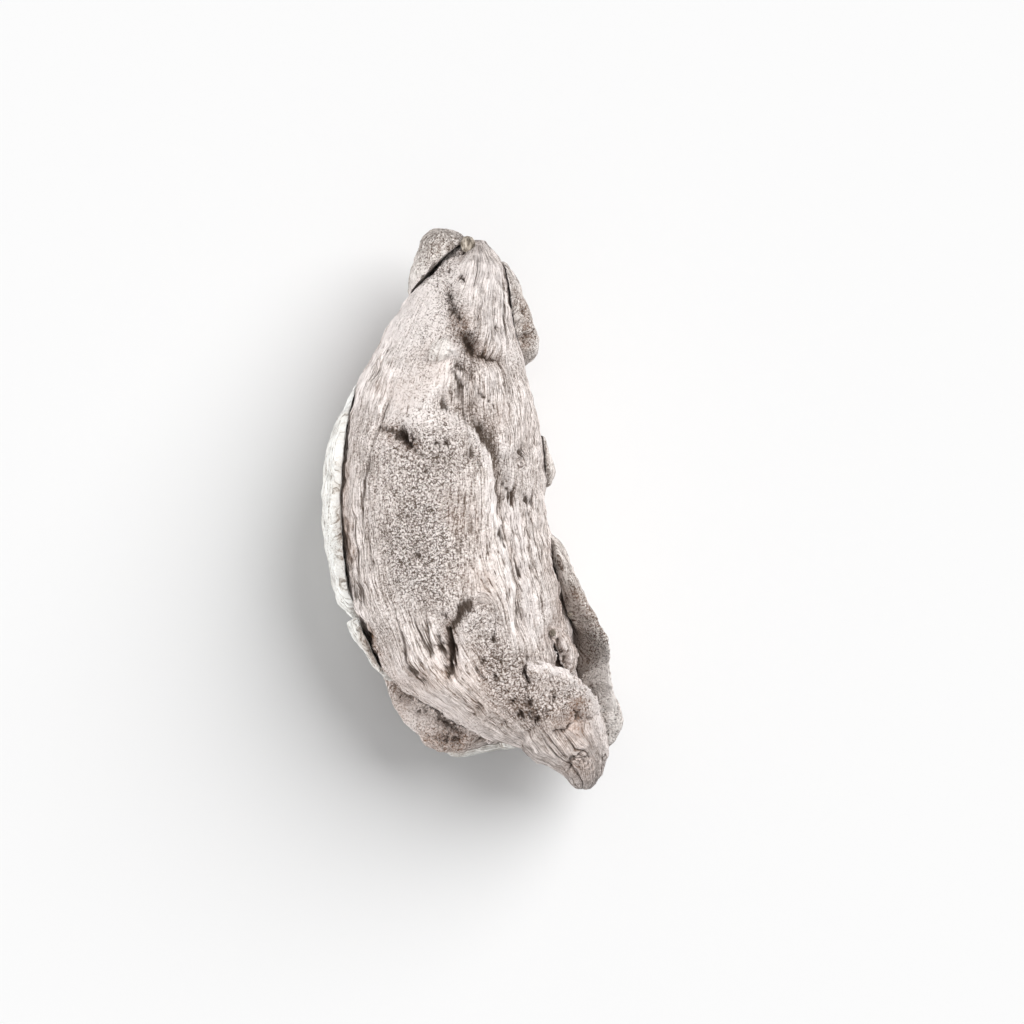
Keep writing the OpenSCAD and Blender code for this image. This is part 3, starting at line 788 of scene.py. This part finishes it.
# %% Sapwood slab and flake
shake, slab_thick, flake_thick = 0.5, 3.9, 2.4
slab = growth("sapwood", [
    [6.8, 176, 192, 0, 0], [7.2, 172, 202, 0, 0], [7.7, 168, 214, slab_thick * 0.25, shake * 0.2],
    [8.3, 164, 226, slab_thick * 0.6, shake * 0.7], [9, 162, 228, slab_thick * 0.85, shake],
    [10, 162, 228, slab_thick, shake], [11, 162, 228, slab_thick * 0.98, shake],
    [12, 164, 226, slab_thick * 0.9, shake], [12.7, 166, 224, slab_thick * 0.8, shake],
    [13.1, 170, 216, slab_thick * 0.5, shake * 0.5]], 240, 90, 4.5, skew=0.7, hinge=0.14,
    grown=(0.1, 0.8, 1, 0.6), taper=0.2)
settle(slab, "sapwood_slab", "bleached_wood")
flake = growth("sapwood_flake", [
    [13.3, 166, 214, flake_thick, shake * 0.5], [13.8, 165, 214, flake_thick, shake * 0.7],
    [14.4, 164, 206, flake_thick * 0.6, shake * 0.7], [14.9, 165, 196, flake_thick * 0.4, shake * 0.5],
    [15.4, 168, 184, 0, 0.1]], 110, 60, 4, skew=0.5, grown=(0, 0.8, 0, 1))
settle(flake, "side_flake", "bleached_wood")

# %% [markdown]
# ## Stub, flap and bark at the head
# A root once left the head and broke off, so its stub bulges out behind a deep groove. A pitted flap
# wraps the other side, and one thin flake of bark is left further down. They are the same kind of layer.
# The first two have softer edges and are tipped upwards, so that they show from above.

# %% Root stub, head flap and bark flake
stub_thick, flap_thick, bark_thick = 7.6, 5.2, 1.6
stub = growth("broken_root", [
    [0.8, 154, 240, 0.6, 0.2], [1.3, 150, 254, stub_thick * 0.6, 0.5],
    [2, 150, 260, stub_thick * 0.95, 0.7], [2.8, 156, 256, stub_thick * 0.8, 0.6],
    [3.6, 166, 246, stub_thick * 0.4, 0.3], [4.1, 180, 232, 0, 0]],
    130, 110, 2.4, lean=(-0.1, 0, 0.3), grown=(0, 0.8, 0.3, 1))
settle(stub, "root_stub", "mottled_wood")
flap = growth("pitted_flap", [
    [2.5, 4, -30, 0, 0], [3, 10, -46, flap_thick * 0.15, 0.2], [3.5, 14, -58, flap_thick * 0.35, 0.3],
    [4.2, 14, -66, flap_thick * 0.62, 0.4], [4.9, 12, -64, flap_thick * 0.9, 0.4],
    [5.5, 10, -56, flap_thick, 0.4], [6, 4, -48, flap_thick * 0.8, 0.3], [6.3, -8, -36, 0, 0]],
    140, 90, 2.4, lean=(0, 0, 0.2), grown=(0.2, 0.8, 1, 1))
settle(flap, "head_flap", "mottled_wood")
bark = growth("bark", [
    [8.2, 4, -18, 0, 0], [8.7, 8, -28, bark_thick * 0.6, 0.2], [9.1, 8, -30, bark_thick, 0.3],
    [9.5, 2, -22, 0, 0]], 60, 50, grown=(0, 0.6, 1, 0.4))
settle(bark, "bark_flake", "mottled_wood")

# %% [markdown]
# ## The open flange
# On the lower right the wood has peeled away from the trunk and stands open like a cup, with a dark
# hollow behind it. Its rows open by 8 mm in the middle and close again towards the tail. A splinter
# runs along the trunk beside it.

# %% Flange and splinter
opening, flange_thick, splinter_thick = 8.0, 5.0, 2.0
flange = growth("flange", [
    [10.6, 6, -26, 0, 0], [11.2, 14, -50, flange_thick * 0.5, opening * 0.1],
    [12, 14, -64, flange_thick * 0.7, opening * 0.25], [13, 9, -70, flange_thick * 0.85, opening * 0.7],
    [14, 3, -72, flange_thick, opening], [15, -4, -72, flange_thick, opening],
    [16, -2, -70, flange_thick * 1.3, opening * 0.7], [17, -8, -68, flange_thick * 1.7, opening * 0.4],
    [18, -14, -64, flange_thick * 1.9, opening * 0.16], [19, -20, -60, flange_thick * 1.5, 0.2],
    [19.9, -26, -54, flange_thick * 0.7, 0], [20.3, -32, -50, 0, 0]], 220, 110, 2.6, lean=(0.6, 0, 0.8),
    hinge=0.32, grown=(0, 0.8, 1, 1), ragged=2.5, cup=(14.4, 0.9))
settle(flange, "root_flange", "mottled_wood")
sliver = growth("splinter", [
    [13.4, 27, 24, 0, 0], [13.8, 29, 18, splinter_thick, 0], [14.5, 28, 16, splinter_thick * 1.2, 0],
    [15, 26, 16, splinter_thick * 0.8, 0], [15.3, 23, 19, 0, 0]], 80, 40, 2, grown=(0.2, 0.5, 1, 1))
settle(sliver, "splinter", "weathered_wood")

# %% [markdown]
# ## The folded tail and the toe
# A last growth of wood rolled over the tail and ends in a hooked nub. Its right edge is crisp, and the
# left one has melted into the trunk. Below the slanting rib a lobe and its lip stick out as a toe. Of
# all the layers the fold has the finest grid, because it shows the most granular wood.

# %% Fold, toe and knot
fold_thick, toe_thick, lip_thick, knot_thick = 2.6, 9.0, 12.0, 1.8
fold = growth("tail_fold_wood", [
    [14.7, 66, 58, 0, 0], [15.1, 68, 42, fold_thick * 0.7, 0], [15.6, 68, 26, fold_thick * 0.95, 0],
    [16.2, 76, 12, fold_thick, 0], [17, 84, -2, fold_thick, 0], [18, 90, -10, fold_thick, 0],
    [18.8, 112, -14, fold_thick, 0], [19.6, 150, -16, fold_thick, 0], [20.4, 168, -18, fold_thick, 0],
    [21.4, 176, -20, fold_thick, 0], [22.4, 178, -22, fold_thick * 0.9, 0],
    [23.2, 180, -24, fold_thick * 0.8, 0], [23.8, 180, -10, fold_thick * 0.7, 0]], 240, 190, 3.4,
    grown=(1, 0.2, 0, 0), ragged=2.0)
settle(fold, "tail_fold", "weathered_wood")
toe = growth("toe", [
    [15.1, 200, 214, 0, 0], [15.6, 195, 216, toe_thick * 0.35, 0.2],
    [16.1, 186, 218, toe_thick * 0.6, 0.2], [16.7, 176, 219, toe_thick * 0.85, 0.4],
    [17.4, 170, 220, toe_thick, 0.5], [18, 171, 220, toe_thick, 0.4],
    [18.5, 176, 217, toe_thick * 0.6, 0.2], [19, 186, 210, 0, 0]], 150, 100, 2.4, lean=(-0.2, 0, 0.4),
    grown=(0.1, 0.6, 1, 1))
settle(toe, "toe_lobe", "weathered_wood")
lip = growth("toe_edge", [
    [15.8, 220, 236, 0, 0], [16.4, 221, 246, lip_thick * 0.7, 0], [17.2, 222, 250, lip_thick, 0],
    [18, 222, 250, lip_thick, 0], [18.5, 220, 246, lip_thick * 0.6, 0],
    [19, 216, 240, lip_thick * 0.2, 0], [19.5, 210, 226, 0, 0]], 130, 80, 2.4, lean=(-0.2, 0, 0.6),
    grown=(0, 0.8, 1, 1))
settle(lip, "toe_lip", "bleached_wood")
knot = growth("knot", [
    [5.5, 99, 91, 0, 0], [5.7, 102, 88, knot_thick * 0.8, 0], [6, 102, 88, knot_thick, 0],
    [6.2, 99, 91, 0, 0]], 44, 36, 2, grown=(0.7, 0.7, 1, 1))
settle(knot, "dead_knot", "mottled_wood")

# %% [markdown]
# ## Pebble and sand
# One pebble is wedged behind the head and three grains of sand lie round the hollow. Each is a ball
# whose radius wanders, made of rings like everything else, with its poles closed by the same strips.

# %% Pebble and sand
def stone(t, degrees, size, around, seed, rise=0.5):
    """A ball at a station and angle: latitude rings of radius * (1 + noise / 8), flattened a little. rise
    is how far its centre stands off the trunk, as a share of its size."""
    t, a = np.float64(t), np.radians(np.float64(degrees))
    centre = skin(t, a) + trunk_normal(t, a) * (GAP + size * rise)
    turn, height = np.meshgrid(np.linspace(0, 2 * np.pi, around, endpoint=False),
                               np.linspace(-0.49, 0.49, around // 2) * np.pi)
    ball = np.stack([np.cos(height) * np.cos(turn), 1.15 * np.cos(height) * np.sin(turn),
                     0.95 * np.sin(height)], -1)
    ball = ball * (1 + 0.12 * noise(ball + seed, 0.9) + 0.04 * noise(ball + seed, 0.3))[..., None]
    point = centre + ball * size / 2
    tone = 0.3 + 0.5 * noise(point, size / 3, 95)
    return point, np.zeros_like(point), tone, point


pebble_size, sand_size = 3.6, 1.6
pebble = solid("pebble", [stone(1.2, 116, pebble_size, 48, 1, 0.1)])
settle(pebble, "wedged_pebble", "grit")
sand = solid("sand", [stone(13.6, 30, sand_size, 24, 2), stone(13, 10, sand_size * 0.8, 20, 3),
                      stone(14.6, -10, sand_size, 24, 4)])
settle(sand, "sand_grains", "grit")

# %% [markdown]
# ## Writing shaders as sums
# A material is a formula, but node trees make formulas hard to read. This class wraps a socket, so that
# plus, minus and times add the Math nodes, and one method adds any other node.

# %% Sockets with arithmetic
class Signal:
    """A number or colour that varies over a surface"""

    def __init__(self, tree, socket):
        self.tree = tree
        self.socket = socket

    def node(self, kind, settings=None, inputs=None, output=0):
        """A new node: its settings first, then values or links for its sockets, and one of its outputs"""
        made = self.tree.nodes.new(kind)
        for name, value in (settings or {}).items():
            setattr(made, name, value)
        for name, value in (inputs or {}).items():
            if isinstance(value, Signal):
                self.tree.links.new(value.socket, made.inputs[name])
            else:
                made.inputs[name].default_value = value
        return Signal(self.tree, made.outputs[output])

    def math(self, operation, *values):
        return self.node("ShaderNodeMath", {"operation": operation}, dict(enumerate(values)))

    def __add__(self, other):
        return self.math("ADD", self, other)

    def __mul__(self, other):
        return self.math("MULTIPLY", self, other)

    def __sub__(self, other):
        return self.math("SUBTRACT", self, other)

    def __rsub__(self, other):
        return self.math("SUBTRACT", other, self)

    __radd__ = __add__
    __rmul__ = __mul__

    def math_abs(self):
        return self.math("ABSOLUTE", self)

    def ramp(self, low, high, curve="SMOOTHSTEP"):
        """0 at low and 1 at high, held there beyond them"""
        return self.node("ShaderNodeMapRange", {"interpolation_type": curve},
                         {"Value": self, "From Min": low, "From Max": high})

    def mixed(self, other, share):
        """This colour, with a share of another colour over it"""
        return self.node("ShaderNodeMix", {"data_type": "RGBA"}, {0: share, 6: self, 7: other}, 2)

    def scaled(self, *factors):
        """A vector times a vector of factors"""
        return self.node("ShaderNodeVectorMath", {"operation": "MULTIPLY"}, {0: self, 1: factors})


def linear(red, green, blue):
    """A colour of 0 to 255 as the eye sees it, turned into light: ((c / 255 + 0.055) / 1.055)^2.4"""
    return tuple(float(((c / 255 + 0.055) / 1.055) ** 2.4) for c in (red, green, blue)) + (1.0,)


print("mid grey is", round(linear(188, 188, 188)[0], 2), "as light")

# %% [markdown]
# ## Weathered wood
# The grey of driftwood is a skin of loose fibres and pores, each a fraction of a millimetre wide. The
# mesh holds the relief down to about a millimetre, so the material adds what is finer. Hair lines and
# streaks read the grain attribute, so they bend round the knots, and winding tracks and crumbs fill the
# granular wood. All of them feed a bump as well as the colour. In the colour they are partly the wood's
# own pale fibres and dark pores, partly painted light and shade of that fine relief.

# %% Wood material
TANNIN = (150, 104, 66)
SHADE = (78, 64, 54)
BUMP_HEIGHT = 0.5 * MM


def wood(name, colours, contrast, roughness):
    """Colour: from the first through the middle to the last of three colours by tone and fine pattern,
    which paints the light and shade of the fine relief as well as its own colour, then stain, then
    darkness, painted shade as well as the dark wood of cracks and pores. Bump: the same pattern. Fine
    dark lines lie where noise crosses zero."""
    material = bpy.data.materials.new(name)
    material.use_nodes = True
    tree = material.node_tree
    shader = tree.nodes["Principled BSDF"]
    start = Signal(tree, None)       # it has no socket, and only adds the first nodes
    grain = start.node("ShaderNodeAttribute", {"attribute_name": "grain"}, output="Vector")
    marks = start.node("ShaderNodeAttribute", {"attribute_name": "marks"}, output="Vector")
    tone = start.node("ShaderNodeAttribute", {"attribute_name": "tone"}, output="Fac")
    place = start.node("ShaderNodeTexCoord", output="Object").scaled(1 / MM, 1 / MM, 1 / MM)
    dark, stain, granular = (start.node("ShaderNodeSeparateXYZ", inputs={0: marks}, output=k)
                             for k in range(3))

    def pattern(vector, factors, detail, rough):
        return start.node("ShaderNodeTexNoise", {"noise_dimensions": "3D"},
                          {"Vector": vector.scaled(*factors), "Scale": 1.0, "Detail": detail,
                           "Roughness": rough}) - 0.5

    def lines(vector, factors, width):
        return pattern(vector, factors, 1.5, 0.5).math_abs().ramp(width, 0.0)

    patches = pattern(place, (0.4, 0.4, 0.4), 2.0, 0.6).ramp(-0.12, 0.16)
    straight = 1 - granular * 0.85
    hairs = lines(grain, (1.6, 0.12, 1), 0.05) * straight
    dashes = lines(grain, (2.8, 0.42, 1), 0.07) * patches * straight
    checks = pattern(grain, (1.1, 0.16, 1), 2.0, 0.5).ramp(0.17, 0.26) * straight
    worms = lines(place, (1.2, 1.2, 1.2), 0.065) * (granular * 1.1 + 0.1)
    crumbs = pattern(place, (1.8, 1.8, 1.8), 3.0, 0.75) * (granular * 1.1 + 0.4)
    streaks = pattern(grain, (1.5, 0.045, 1), 4.0, 0.62) * (1 - granular * 0.6)
    cuts = hairs * 0.7 + dashes * 0.6 + checks * 1.0 + worms * (1.2 - patches * 0.5)
    # Crumbs and cuts lighten and darken the colour: partly the wood's own pale fibres and dark pores,
    # partly painted light and shade of the fine relief
    share = tone + streaks * 1.4 + (crumbs * 2.1 - cuts * 0.65 + 0.2) * contrast
    low, middle_colour, high = (linear(*colour) for colour in colours)
    body = start.node("ShaderNodeMix", {"data_type": "RGBA"},
                      {0: share.ramp(0, 0.5, "LINEAR"), 6: low, 7: middle_colour}, 2)
    body = body.mixed(high, share.ramp(0.5, 1, "LINEAR"))
    body = body.mixed(linear(*TANNIN), stain * (0.45 - crumbs))
    # Darkness: the marks' painted shade in cracks, pits and hollows, with the darker wood of cracks and
    # pores
    depth = (dark * 1.6 + crumbs * 2.2 + cuts * dark * 0.5 - 0.55).ramp(0.0, 0.9) * 0.9
    body = body.mixed(linear(*SHADE), depth)
    tree.links.new(body.socket, shader.inputs["Base Color"])
    shader.inputs["Roughness"].default_value = roughness
    shader.inputs["Specular IOR Level"].default_value = 0.25
    height = crumbs * 1.3 + streaks * 1.0 - cuts * 0.5
    bump = start.node("ShaderNodeBump", {}, {"Height": height, "Strength": 1.0, "Distance": BUMP_HEIGHT})
    tree.links.new(bump.socket, shader.inputs["Normal"])
    return material


# Each finish: its dark, middle and light colour, its contrast and its roughness
FINISHES = {
    "weathered_wood": ([(110, 96, 86), (206, 193, 186), (255, 246, 242)], 1.35, 0.85),
    "bleached_wood": ([(160, 150, 140), (246, 243, 237), (255, 255, 252)], 1.2, 0.8),
    "mottled_wood": ([(108, 95, 85), (198, 187, 180), (253, 246, 241)], 1.3, 0.88),
    "grit": ([(96, 86, 74), (180, 168, 154), (232, 222, 208)], 0.7, 0.6)}
materials = {slot: wood(slot.replace("_", " "), *finish) for slot, finish in FINISHES.items()}
for piece in bpy.context.scene.objects:
    if piece.get("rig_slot") in materials:
        piece.data.materials.clear()
        piece.data.materials.append(materials[piece["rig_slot"]])
print("finishes:", ", ".join(materials))

# %% [markdown]
# ## Table top
# Plain, pale and matt, so that nothing competes with the wood.

# %% Table top
paper = bpy.data.materials.new("paper")
paper.use_nodes = True
paper.node_tree.nodes["Principled BSDF"].inputs["Base Color"].default_value = (0.93, 0.93, 0.93, 1)
paper.node_tree.nodes["Principled BSDF"].inputs["Roughness"].default_value = 0.9
table.data.materials.append(paper)
print("the table is", TABLE_SIZE, "m wide")
